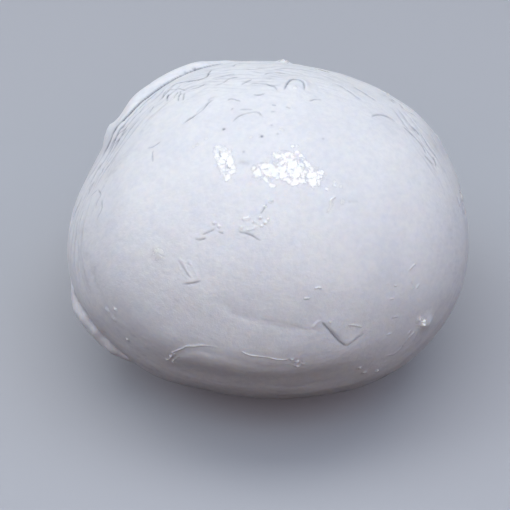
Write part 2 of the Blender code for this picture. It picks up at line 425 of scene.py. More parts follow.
@dataclass(frozen=True)
class Form:
    """The ball's main form: its broad swells, and the folds that its solid has too."""

    swells: tuple[Swell, ...] = (
        Swell(at=(-96, 28), spread=10.0, height=-3.2),  # left cheek
        Swell(at=(-112, 37), spread=4.0, height=0.5),  # left shoulder
        Swell(at=(-66, -17), spread=7.0, height=1.6),  # left foot
        Swell(at=(50, -26), spread=15.0, height=1.75),  # right hip
        Swell(at=(97, 27), spread=7.0, height=-0.45),  # under the right shoulder
        Swell(at=(112, 34), spread=9.0, height=0.3),  # right shoulder
        Swell(at=(-14, -38), spread=16.0, height=-0.35),  # front belly
        Swell(at=(140, 50), spread=10.0, height=-0.75),  # back of the right shoulder
        Swell(at=(-112, 28), spread=2.0, height=0.9),  # knot where the roll ends
        Swell(at=(-113, 29), spread=0.8, height=0.45),  # its upper knob
        Swell(at=(-110, 26), spread=0.8, height=0.35),  # its lower knob
        Swell(at=(-106, 35), spread=1.7, height=0.4),  # its foot
        Swell(at=(-43, -35), spread=7.0, height=1.5),  # left of the belly
        Swell(at=(-79, -6), spread=7.0, height=0.65),  # left side
        Swell(at=(168, 52), spread=6.0, height=-0.5),  # back of the crown
        Swell(at=(90, 5), spread=9.0, height=-0.8),  # right side
        Swell(at=(100, 28), spread=5.0, height=-0.45),  # front of the right shoulder
        Swell(at=(52, -12), spread=7.0, height=-0.35),  # over the right hip
        Swell(at=(126, 50), spread=5.0, height=-0.4),  # beside the crown
        Swell(at=(139, 79.5), spread=1.8, height=0.9),  # crown nub
        Swell(at=(174, 50), spread=0.9, height=0.8),  # back nib
        Swell(at=(47, -4), spread=1.1, height=0.8),  # side crumb
        Swell(at=(0, -5), spread=12.0, height=0.7),  # sag of the belly
        Swell(at=(-45, -2), spread=10.0, height=0.4),  # sag of the left side
    )
    belly_lip: tuple[Swell, ...] = tuple(
        Swell(at=(azimuth, rise), spread=4.2, height=height)
        for azimuth in (-27, -20, -13, -6, 1, 8, 15, 22)
        for rise, height in ((-2.5, 0.5), (-13, -0.3))
    )
    cheek_seam: Fold = Fold(
        path=((-80, -6), (-84, 2), (-88, 15), (-93, 26), (-98, 34.5), (-106, 40), (-118, 44)),
        depth=0.0, width=1.6, lap=1.3, reach=9.0, edge=6.0, tuck=0.0, lines=0.0, round=1.5, fade=0.25,
    )
    pinch_seam: Fold = Fold(
        path=((-106, 37.5), (-113, 39), (-118, 40.5), (-123.5, 42), (-130, 43.5), (-138.5, 45),
              (-148, 46.8), (-156.5, 47.2), (-160.5, 48.5), (-166, 51)),
        depth=0.12, width=0.6, lap=2.85, reach=8.0, edge=1.8, tuck=0.2, lines=0.35, fade=0.3, wander=0.3,
    )
    roll_back: Fold = Fold(
        path=((-176, 27), (-156, 24), (-137, 16), (-120, 5), (-106, -8)),
        depth=0.25, width=2.2, lap=0.45, reach=6.0, fade=0.35, tuck=0.15, lines=0.1, wander=0.7,
    )
    foot_lobe: Fold = Fold(
        path=((-46, -33), (-52.5, -28), (-57.5, -22), (-64, -15), (-69, -11), (-73, -7)),
        depth=0.25, width=0.7, lap=2.7, reach=7.0, edge=1.2, fade=0.28, tuck=0.3, lines=0.4,
    )
    side_rim: Fold = Fold(
        path=((-67, -14), (-70, -10), (-74, -7), (-78, -4), (-81, 0), (-84, 3.5), (-87, 7), (-88.5, 11), (-91.5, 15.5)),
        depth=0.05, width=0.6, lap=0.2, reach=3.0, edge=0.5, tuck=0.1, lines=0.25, wander=0.3,
    )
    lower_lip: Fold = Fold(
        path=((9, -2), (2, -4), (-6, -2), (-15, 0), (-22, -2), (-29, -11)),
        depth=0.1, width=1.2, lap=0.2, reach=3.0, tuck=0.0, lines=0.0, round=0.7,
    )
    front_seam: Fold = Fold(
        path=((13, 9), (6, 11), (-3, 13.5), (-10, 16), (-15, 22)),
        depth=0.14, width=1.4, lap=0.1, reach=3.0, tuck=0.0, lines=0.0, round=0.7,
    )
    loose_corner: Fold = Fold(
        path=((14, 12.5), (16, 9), (18, 5), (20.5, 1.5), (23, 3), (25.5, 5.5)),
        depth=0.06, width=1.2, lap=0.22, reach=2.4, edge=0.5, tuck=0.1, lines=0.0, wander=0.05, fade=0.15,
    )
    shoulder_tuck: Fold = Fold(
        path=((-73, 64), (-77.5, 66.5), (-88, 71.5), (-100.5, 73), (-105.5, 76)),
        depth=0.08, width=1.0, lap=0.15, reach=2.5, edge=0.5, tuck=0.05, lines=0.06,
    )

    def marks(self) -> list[Mark]:
        """The swells, then the folds."""
        folds = [self.cheek_seam, self.pinch_seam, self.roll_back, self.foot_lobe, self.side_rim, self.lower_lip]
        folds += [self.front_seam, self.loose_corner, self.shoulder_tuck]
        return [*self.swells, *self.belly_lip, *folds]


def threads(paths: list[Path], **sizes: float | Rise) -> list[Mark]:
    """One thread along each path, all with the same sizes."""
    return [Thread(path, **sizes) for path in paths]


def beads(places: list[Place], height: float, spread: float) -> list[Mark]:
    """One bead, or pit, at each place, all with the same sizes."""
    return [Bead(place, height, spread) for place in places]


@dataclass(frozen=True)
class PinchedRoll:
    """The fine lines along the roll that was twisted off, up the left side and over to the back."""

    hairline: float = 0.2
    scratch: float = 0.1

    def creases(self) -> list[Mark]:
        """The creases that run beside the roll, with a thin ridge between each two."""
        paths = [
            ((-116, 47.5), (-112, 46.5), (-108, 45.5), (-105, 43.5), (-103.5, 40), (-103, 36), (-101, 32.5), (-99.5, 29.5)),
            ((-102, 43), (-100.5, 40.5), (-100, 37), (-99, 33.5), (-97.5, 30)),
            ((-100.5, 25.5), (-102.5, 28), (-104.5, 31), (-107, 34), (-110, 37), (-114, 39)),
            ((-106, 31), (-108.5, 35.5), (-113, 38.5), (-117, 40), (-121.5, 41.5)),
        ]
        made = threads(paths, height=self.hairline, width=0.17, lip=0.12, lip_reach=0.6, broken=0.25, ink=0.75)
        band = ((-127, 50), (-119, 50.5), (-111, 48.5), (-106, 45), (-101, 39), (-96, 33), (-92, 26), (-88, 20))
        made += [Strands(band, reach=7.0, depth=0.45, ink=0.95)]
        crest = ((-113, 39), (-118, 40.5), (-123.5, 42), (-130, 43.5), (-138.5, 45), (-148, 46.8), (-156.5, 47.2), (-160.5, 48.5))
        return made + [Thread(crest, height=0.3, width=0.2, lip=0.12, wander=0.3, broken=0.15, fade=0.08, ink=1.1)]

    def fan(self) -> list[Mark]:
        """The branches and scratches that fan out from the roll over the shoulder."""
        paths = [
            ((-121, 53), (-127, 54), (-129, 57.5), (-131, 62), (-135.5, 63.5), (-141.5, 61), (-146, 58.5), (-149.5, 60.5)),
            ((-121, 53), (-120, 56.5), (-120.5, 58.5), (-117, 63.5)),
            ((-107, 58), (-114, 56.5), (-115.5, 57), (-114.5, 58.5)),
            ((-103.5, 63), (-109.5, 62), (-115, 61.5)),
            ((-109, 60.5), (-114, 60), (-117, 59.5)),
            ((-117, 56), (-107, 58.5)),
            ((-118, 60.5), (-109, 62)),
            ((-121.5, 53), (-113, 54.5)),
            ((-114.5, 63), (-103, 64.5)),
            ((-109.5, 52.5), (-103, 52.5)),
            ((-73.5, 52), (-72.3, 53.5), (-71.5, 55), (-71.3, 57)),
            ((-62, 51.5), (-69.5, 53.5)),
        ]
        first = threads(paths[:1], height=0.16, width=0.14, lip=0.08, fade=0.15, broken=0.3, ink=0.8)
        return first + threads(paths[1:], height=self.scratch, width=0.12, fade=0.2, broken=0.3, ink=0.5)

    def limb(self) -> list[Mark]:
        """The streaks and creases down the left side, and the rim of the foot below them."""
        paths = [
            ((-90.5, 23.5), (-90, 22), (-89, 20), (-85, 20)),
            ((-79, 28.5), (-79.5, 27), (-81, 23.5), (-80.5, 21)),
            ((-79, 28.5), (-73.5, 30), (-72, 27.5), (-70, 25)),
            ((-70.5, 30), (-67, 28.5), (-66, 26.5), (-65, 24)),
            ((-97, 29), (-96, 27), (-94, 26)),
            ((-96, 31.5), (-92.5, 29.5), (-88.5, 29)),
            ((-79, 18), (-76, 14.5)),
            ((-71, -9), (-68, -11.5), (-62.5, -12), (-59, -13)),
        ]
        made = threads(paths, height=0.12, width=0.18, lip=0.06, broken=0.3, ink=0.45)
        side = ((-93, 27), (-88, 22), (-82, 17), (-77, 12), (-72, 6), (-68, -1), (-64, -7))
        made += [Strands(side, reach=5.0, depth=0.09, width=0.28, ink=0.22, start=71.0)]
        return made + beads([(-46, 1.5), (-43, -11)], 0.26, 0.24) + beads([(-47, -3.5), (-49.5, -1.5)], 0.14, 0.4) + beads([(-35.5, 29)], 0.12, 0.7)

    def marks(self) -> list[Mark]:
        """All of them."""
        return self.creases() + self.fan() + self.limb()


@dataclass(frozen=True)
class Crown:
    """The marks on top: the nub and nib, the waves, small tears and pits, and a torn strip of skin."""

    pit: float = -0.16

    def waves(self) -> list[Mark]:
        """The fine waves that the skin was gathered into behind the crown."""
        paths = [
            ((-151.5, 58.5), (-156.5, 61), (-162, 59), (-172, 60), (178, 62)),
            ((-133, 66.5), (-139, 68), (-147.5, 69.5), (-148, 71)),
            ((-136, 78), (-151, 77.5), (-158, 77)),
            ((-160, 66), (-166, 68.5), (-176, 67.5), (174, 66)),
            ((-172, 75.5), (-178, 73.5), (172.5, 73), (162.5, 73.5)),
            ((-140.5, 80), (-154.5, 80), (-170, 81.5), (177, 83), (159.5, 85), (143.5, 85.5)),
            ((-118.5, 84.5), (-127.5, 86.5), (-159.5, 87)),
            ((-117, 64), (-120, 66), (-128, 67)),
            ((-120, 71), (-130, 72.5), (-142, 72), (-152, 74)),
            ((179, 70.5), (166, 66.5), (154, 64), (144, 63)),
            ((-165, 55), (-178, 56), (170, 57)),
            ((160, 58), (150, 60), (140, 59)),
        ]
        band = ((-123.5, 54), (-131, 58.5), (-140, 65), (-156, 72), (175, 76), (135.5, 76.5))
        faint = [Strands(band, reach=9.0, across=1.6, run=4.0, depth=0.05, width=0.16, ink=0.3, start=92.0)]
        return faint + threads(paths, height=0.12, width=0.13, lip=0.07, broken=0.4, wander=0.35, ink=0.6)

    def tears(self) -> list[Mark]:
        """The small tears and pits in front of the crown."""
        paths = [
            ((-45, 75.5), (-47.5, 77), (-48.5, 79.5), (-42, 82), (-26.5, 83), (-9, 81)),
            ((-63, 80.5), (-44.5, 83.5)),
            ((-93, 78), (-96.5, 79.5), (-85, 82)),
            ((7, 87), (27.5, 86.5)),
            ((1.5, 84), (14, 84)),
            ((50.5, 84.5), (52.5, 83)),
            ((-68, 78.5), (-72, 79.5)),
            ((-74, 65), (-76.5, 66), (-79.5, 68), (-83, 71), (-92, 72.5), (-96.5, 73.5), (-99, 75)),
            ((91.5, 79.5), (97.5, 77.5), (97.5, 75.5)),
        ]
        faint = [(2, 78.5), (-18.5, 67.5), (43.5, 69), (8, 75)]
        made = threads(paths, height=0.1, width=0.13, lip=0.07, fade=0.18, wander=0.3, broken=0.4, ink=0.5)
        return made + beads([(-46, 72.5), (-8, 74)], self.pit, 0.22) + beads(faint, self.pit / 3, 0.2)

    def marks(self) -> list[Mark]:
        """The nub and nib, the waves, the tears and the crack down the torn strip."""
        nub = ((138, 84.5), (147.5, 81.5), (149.5, 78.8), (146.5, 77.2), (141.5, 76.7), (133.5, 77.5), (117, 79.5))
        crack = ((-35, 65.5), (-31, 64), (-26.5, 63), (-23.5, 61.5), (-20.5, 61))
        # a shallow hollow beside the torn strip, with grey shade painted along it
        painted_strip_shade = ((-20, 63), (-17, 64), (-11, 64))
        return [
            Thread(nub, height=0.16, width=0.16, lip=0.3, lip_reach=0.6, wander=0.1, broken=0.1, fade=0.12, ink=0.7),
            Thread(crack, height=0.08, width=0.12, wander=0.2, broken=0.1, fade=0.1, ink=0.35),
            Thread(painted_strip_shade, height=0.05, width=0.45, wander=0.3, broken=0.4, ink=0.25),
            Bead((129, 81.5), 0.2, 0.25),
            Bead((174, 52), 0.5, 0.4),
            *self.waves(),
            *self.tears(),
            *[Swell(hollow, 0.9, -0.05) for hollow in ((-25, 64.5), (-18, 65), (-11.5, 65))],
        ]


@dataclass(frozen=True)
class FrontSkin:
    """The marks on the front: the wisps in the middle, the scored strip, the seam and its loose corner."""

    bead: float = 0.16

    def wisps(self) -> list[Mark]:
        """The two torn wisps in the middle, each with tiny beads above a hairline."""
        hairlines = [
            ((-25.5, 37), (-23.5, 37.5), (-21.5, 38.5)),
            ((-23.5, 39), (-22, 40), (-20.5, 41), (-19.5, 42)),
            ((-18, 41), (-16, 41)),
            ((-11.5, 42.5), (-10, 42), (-8.5, 42), (-6.5, 41.5), (-4.5, 40.5), (-2.5, 40)),
            ((-3.5, 48), (-2, 50), (-1, 51.5)),
        ]
        glints = [((-11, 46), (-9, 46.5), (-7, 47)), ((-19.3, 43), (-17.3, 43)), ((-1, 52), (2, 52.5))]
        grains = [(-20.5, 43.5), (-10, 43.5), (-6, 45.5), (-3, 44.5), (-1.5, 45.5), (-3.5, 47), (-0.5, 46.5), (-2, 50.5)]
        made = threads(hairlines, height=0.09, width=0.13, lip=0.08, fade=0.18, broken=0.3, wander=0.15, ink=0.5)
        made += threads(glints, rise=Rise.OUT, height=0.15, width=0.25, fade=0.3, wander=0.1, broken=0.0, ink=1.2)
        made += [
            Thread(((-9, 43), (-7, 43), (-5.5, 43.5), (-4.5, 44)), Rise.OUT, height=0.1, width=0.2, ink=0.3),
            Swell((-10, 40.5), 1.3, -0.08),
            Crumble((-5, 45), 1.2, 0.07, 0.6),
            Crumble((-18.5, 42.5), 1.0, 0.06, 0.6),
        ]
        return made + beads(grains, self.bead, 0.19)

    def strip(self) -> list[Mark]:
        """A thin strip of skin, lifted and laid down again."""
        end = ((-25.5, 22), (-24, 22.5), (-22, 23.5), (-20.5, 24.5), (-19.5, 25))
        return [
            Thread(((-29, 29.5), (-27, 28), (-24.5, 25.5), (-23, 24.5)), height=0.06, width=0.3, lip=0.05, ink=0.15),
            Thread(((-26, 31), (-24.5, 29.5), (-22.5, 27.5), (-20.5, 25)), Rise.OUT, height=0.13, width=0.3, ink=0.2),
            Thread(((-27.5, 30), (-25, 27), (-22.5, 25)), Rise.OUT, height=0.08, width=0.25, ink=0.1),
            Thread(end, height=0.1, width=0.14, lip=0.12, fade=0.35, broken=0.1, wander=0.1, ink=0.4),
            Thread(((-36.5, 29), (-32.5, 29)), height=0.05, ink=0.2),
            Crumble((-25.5, 28.5), 1.5, 0.05, 0.9),
        ]

    def corner(self) -> list[Mark]:
        """The peak over the loose corner, and the fine edges round it."""
        score = ((14, 12.5), (16, 9), (18, 5), (20.5, 1.5))
        return [
            Thread(score, height=0.12, width=0.13, wander=0.05, broken=0.1, fade=0.12, ink=0.85),
            Thread(((15.5, 11), (17.5, 7.5), (19.5, 4.5), (21, 2)), height=0.05, width=0.13, wander=0.05, ink=0.3),
            Thread(((20.5, 1.5), (23, 3), (25, 4), (25.5, 5.5)), height=0.07, width=0.14, lip=0.14, wander=0.05, ink=0.3),
            Thread(((21, 9.5), (23.5, 8.5), (25.5, 7)), Rise.OUT, height=0.12, width=0.17, broken=0.1, ink=0.9),
            Thread(((16, 12.5), (17, 11.5)), Rise.OUT, height=0.1, width=0.18, ink=0.6),
            Thread(((11.5, 10.5), (12.5, 12), (14, 13)), Rise.OUT, height=0.2, width=0.35, ink=0.25),
            Thread(((-3, 14.5), (5, 12.5), (12, 9.5)), height=0.05, width=0.2, ink=0.15),
            Swell((21.5, 6), 1.2, -0.1),
        ]

    def lip(self) -> list[Mark]:
        """The bright, crumbly edge where the belly turns under."""
        edges = [
            ((-29.5, -13), (-27, -7.5), (-25, -3.5), (-22.5, -0.5), (-20, 1), (-16.5, 2.5), (-13, 2.5)),
            ((-7.5, 3), (-5, 1.5), (-1, 1), (3.5, -0.5), (5.5, 0)),
            ((-28, -13), (-26, -9), (-24, -5.5)),
        ]
        made = threads(edges, rise=Rise.OUT, height=0.16, width=0.13, fade=0.15, wander=0.3, broken=0.6, ink=1.1)
        made += [Crumble((7, -1.5), 1.2, 0.16, 0.5), Crumble((-27.5, -9.5), 1.2, 0.14, 0.5)]
        crumbs = [(-29.5, -12.5), (-27.5, -13), (-27.5, -8.5), (6, -0.5), (7.5, -1.5), (9, -3), (7.5, -4), (-26, -6)]
        return made + beads(crumbs, 0.2, 0.18)

    def marks(self) -> list[Mark]:
        """All of them."""
        dashes = [((12.7, 24), (14, 24.1), (15.3, 23.5)), ((9.5, 21), (11.5, 21))]
        made = threads(dashes, rise=Rise.OUT, height=0.12, width=0.16, fade=0.3, broken=0.0, ink=1.0)
        made += threads([((24.5, 48), (26, 50.2), (29, 50.6))], rise=Rise.OUT, height=0.14, width=0.2, ink=0.6)
        made += threads([((32, 48), (35, 47.5), (37, 47))], height=0.08, width=0.25, lip=0.1, ink=0.2)
        return made + self.wisps() + self.strip() + self.corner() + self.lip()


@dataclass(frozen=True)
class RightSide:
    """The marks on the right: the crumb and its tail, and the fine wrinkles over the shoulder."""

    crumb: float = 0.4

    def tail(self) -> list[Mark]:
        """The crumb and the ridges that trail down from it."""
        ridges = [
            ((44, -3.5), (43, -6.5), (42, -10)),
            ((43, -3.5), (40.5, -6), (39, -8)),
            ((39.5, -7), (38, -9.5), (36, -11), (33, -10)),
            ((40, -4), (41, -2.5)),
            ((32.5, 0.5), (34.5, 0)),
            ((34.5, 6.5), (37, 5.5)),
            ((34.5, 13.5), (36, 13)),
            ((37, 17.5), (38, 17)),
            ((43, 19.5), (45, 20.5), (46.5, 21)),
            ((43, 16.5), (43, 12.5)),
            ((44, 12.5), (45.5, 13.5)),
        ]
        made = threads(ridges[:4], rise=Rise.OUT, height=0.16, width=0.17, broken=0.4, ink=0.6)
        made += threads(ridges[4:], rise=Rise.OUT, height=0.12, width=0.17, broken=0.2, ink=0.5)
        hollows = [((44.5, -4), (43.8, -7), (42.8, -10.5)), ((42.2, -4), (39.8, -6.7), (37, -10.7), (33, -10.8))]
        made += threads(hollows, height=0.08, width=0.18, ink=0.35)
        made += beads([(44, 0), (45.5, -2), (45, -3)], self.crumb, 0.33)
        made += beads([(25.5, -12.5), (27.5, -16.5), (32, -18)], 0.2, 0.3)
        return made + [Crumble((45, -1.5), 0.9, 0.28, 0.5)]

    def shoulder(self) -> list[Mark]:
        """The lines over the right shoulder and down the side."""
        dark = [
            ((89, 61.5), (95, 58), (95.5, 54.5), (94, 52.5)),
            ((94, 51), (91.5, 48.5), (90, 46.5), (88.5, 44), (86, 42), (83.5, 40)),
            ((96.5, 44), (94, 42), (91.5, 40.5), (89, 38.5), (87.5, 35)),
            ((97.5, 46.5), (96, 44.5), (93.5, 43.5)),
            ((105, 35), (101.5, 33.5), (100, 31)),
            ((83, 42), (82, 40), (82, 36.5)),
            ((86.5, 38.5), (84.5, 37), (81.5, 36)),
            ((120, 43), (113, 44), (112, 41), (110.5, 38.5)),
            ((132, 66), (125, 65), (113.5, 64), (106, 62)),
            ((129.5, 58.5), (119.5, 58), (110.5, 56)),
            ((82, 22.5), (80.5, 20.5), (79.5, 19)),
            ((87, 17.5), (83.5, 16), (82, 13)),
        ]
        band = ((111, 47.5), (99, 46.5), (90, 43), (85, 38.5), (81.5, 34))
        made = threads(dark, height=0.14, width=0.17, lip=0.14, broken=0.35, fade=0.18, ink=0.55)
        made += [Strands(band, reach=4.0, across=1.9, run=6.0, depth=0.16, width=0.24, ink=0.4, start=83.0)]
        return made + [Bead((88, 17), 0.35, 0.5)]

    def marks(self) -> list[Mark]:
        """All of them, and two soft hollows above."""
        made = [Swell((30, 48), 2.0, -0.05), Swell((37.5, 47), 2.0, -0.05)]
        return made + self.tail() + self.shoulder()


@dataclass(frozen=True)
class BackSkin:
    """The marks on the back, the far sides and low down, of the same kinds as those in front."""

    crease: float = 0.09

    def folds(self) -> list[Mark]:
        """Two shallow laps low on the back, and hollows where a hand pressed."""
        return [
            Fold(
                ((176, 12), (163, 5), (148, 3), (131, 7)),
                depth=0.16, width=1.6, lap=0.25, reach=4.0, fade=0.3, tuck=0.1, lines=0.07, round=0.4,
            ),
            Fold(
                ((96, -14), (108, -18), (122, -17), (134, -12)),
                depth=0.12, width=1.5, lap=0.2, reach=4.0, fade=0.3, tuck=0.05, lines=0.05, round=0.4,
            ),
            Swell((160, 24), 7.0, -0.35),
            Swell((-140, -6), 7.0, -0.35),
            Swell((112, 6), 6.0, -0.25),
        ]

    def creases(self) -> list[Mark]:
        """Creases beside the roll, and short ones low down."""
        beside_roll = [
            ((-174, 31), (-160, 29), (-147, 25), (-138, 21)),
            ((-152, 18), (-140, 11), (-130, 3), (-125, -3)),
            ((-168, 22), (-158, 18), (-149, 13)),
            ((-132, 20), (-123, 12), (-115, 3)),
            ((-141, 37), (-135, 31), (-129, 23)),
            ((-127, 35), (-121, 27), (-117, 18)),
            ((-163, 38), (-156, 34), (-151, 29)),
        ]
        short = [
            ((151, 35), (144, 28), (142, 20)),
            ((132, 31), (128, 24), (128, 16)),
            ((121, 16), (117, 8), (119, 1)),
            ((141, -3), (134, -7), (129, -8)),
            ((152, -11), (162, -14), (174, -12)),
            ((-163, -8), (-150, -12), (-139, -10)),
            ((-112, -16), (-103, -20), (-93, -18)),
            ((-178, 1), (-168, -2), (-160, 0)),
        ]
        made = threads(beside_roll, height=self.crease, width=0.15, lip=0.1, wander=0.4, broken=0.6, ink=0.35)
        return made + threads(short, height=0.06, width=0.14, lip=0.06, wander=0.4, ink=0.28)

    def wisps(self) -> list[Mark]:
        """Torn wisps, each with tiny beads beside it."""
        edges = [
            ((164, 41), (168, 42.5), (173, 42)),
            ((128, 41), (131, 42), (134, 41.5)),
            ((-179, 9), (-175, 10), (-171, 9)),
            ((109, 24), (112, 25.5), (114, 25)),
            ((152, 10), (156, 12)),
            ((-152, -4), (-148, -5)),
            ((100, 6), (102, 4), (102, 1)),
        ]
        places = [(162, 39.5), (166, 40), (130, 39), (-176, 7.5), (111, 23), (154, 9), (-150, -6), (104, 2), (143, 15)]
        made = threads(edges, rise=Rise.OUT, height=0.15, width=0.2, fade=0.3, broken=0.3, ink=0.8)
        made += [Crumble((165, 40), 1.2, 0.1, 0.6), Crumble((-176, 8), 1.1, 0.1, 0.6), Crumble((103, 2), 1.0, 0.12, 0.6)]
        return made + beads(places, 0.2, 0.26)

    def marks(self) -> list[Mark]:
        """All of them, and a few patches of whey film with a highlight painted white under them."""
        patches = [((150, 56), (157, 53)), ((-172, 50), (-165, 47)), ((118, 47), (121, 44))]
        return self.folds() + self.creases() + self.wisps() + [Film(path, 0.8, 1.4) for path in patches]


@dataclass(frozen=True)
class WheyFilm:
    """Where the whey still lies on the top as a clear, mirror-smooth film, with a highlight painted white under it."""

    def marks(self) -> list[Mark]:
        """The torn strip, the main patch, the arc beside it and the small spots round them."""
        strip = [
            ((-36.5, 66), (-31, 63.5), (-26.5, 61), (-22.5, 58.5)),
            ((-30.5, 66), (-26, 64.5), (-22, 62.5), (-21, 60.5)),
        ]
        cluster = [
            ((-7, 61.5), (-5, 62)),
            ((0, 62), (3, 61.5), (5.5, 61.5)),
            ((11.5, 66.5), (11.5, 64.5), (10, 62)),
            ((13.5, 63), (12, 60.5), (11, 59)),
            ((16.5, 62), (16.5, 60), (14.5, 59)),
            ((26, 59), (23, 58), (21.5, 57)),
        ]
        lines = [
            ((19.5, 67.5), (21.5, 65), (22.5, 63), (23, 60.5)),
            ((17.5, 70), (23.5, 69.5)),
            ((3, 67.5), (6, 66.5)),
            ((1, 57), (2.5, 57)),
            ((31.5, 55), (30, 53.5)),
            ((25.5, 49), (24, 47.5)),
            ((30, 48.5), (31, 49)),
            ((-51.5, 63), (-50.5, 64.5)),
            ((12, 76.5), (15.5, 76)),
        ]
        spots = [(-2, 59.5), (-1, 58.5), (23, 47), (26, 53.5), (-49.5, 67), (-18, 73), (33, 53), (20, 57)]
        made = [Film(path, 0.8, 1.7) for path in strip]
        made += [Film(path, 1.0, 1.35) for path in cluster]
        made += [Film(path, 0.3, 2.4) for path in lines]
        made += [Film(((-4, 61), (8, 62), (22, 57)), 2.2, 0.45), Film(((14, 66), (4, 66)), 1.6, 0.45)]
        return made + [Film((spot,), 0.28, 2.4) for spot in spots]


@dataclass(frozen=True)
class StretchLines:
    """Creases that the drawn skin keeps, in rings about the stretch axis."""

    across: float  # from one crease to the next
    along: float  # how far a crease runs
    depth: float
    thin: float  # how thin the creases are, as a part of the pattern
    start: float  # where in the pattern to start
    from_angle: float = 42.0  # degrees from the stretch axis at which they begin
    full_angle: float = 68.0  # and where they reach their full depth

    def shape(self, relief: Relief) -> None:
        """Adds the lines to the skin, broken up so that they come and go."""
        stretched = relief.drawn / [self.across, self.along, self.along]
        pattern = cloud(stretched, 1.0, self.start)
        breaks = cloud(relief.points, 7.0, self.start + 31.0)
        angle = np.degrees(relief.drawn[:, 0] / HALF_SIZES.mean())
        begin = ease((angle - self.from_angle) / (self.full_angle - self.from_angle))
        line = np.exp(-np.abs(pattern) / self.thin)
        strength = begin * ease(0.5 + 1.4 * breaks)
        relief.height += strength * self.depth * (0.5 * pattern - line)
        # shade painted down each line
        relief.crease += strength * line * min(self.depth / 0.3, 1.0) * 0.5


@dataclass(frozen=True)
class Unevenness:
    """Soft lumps all over the skin, from the curd and the hand that shaped it."""

    lump: float
    height: float
    start: float

    def shape(self, relief: Relief) -> None:
        """Adds the lumps to the skin."""
        relief.height += self.height * cloud(relief.points, self.lump, self.start)


def srgb(code: str) -> tuple[float, float, float, float]:
    """An sRGB hex colour as linear values.

    Args:
        code: six hex digits after a number sign.

    Returns:
        Red, green, blue and an alpha of 1.
    """
    parts = [int(code[i : i + 2], 16) / 255 for i in (1, 3, 5)]
    red, green, blue = (c / 12.92 if c <= 0.04045 else ((c + 0.055) / 1.055) ** 2.4 for c in parts)
    return red, green, blue, 1.0


def add_node(
    tree: bpy.types.NodeTree,
    kind: str,
    feeds: dict[str | int, object] | None = None,
    **settings: object,
) -> bpy.types.Node:
    """Adds a node with its settings and links.

    Args:
        tree: the material's or world's node tree.
        kind: the node's type name.
        feeds: what goes into each input, by name or number: a socket to link, or a value to set.
        settings: the node's own settings.

    Returns:
        The new node.
    """
    node = tree.nodes.new(kind)
    for name, value in settings.items():
        setattr(node, name, value)
    for name, value in (feeds or {}).items():
        if isinstance(value, bpy.types.NodeSocket):
            tree.links.new(value, node.inputs[name])
        else:
            node.inputs[name].default_value = value
    return node


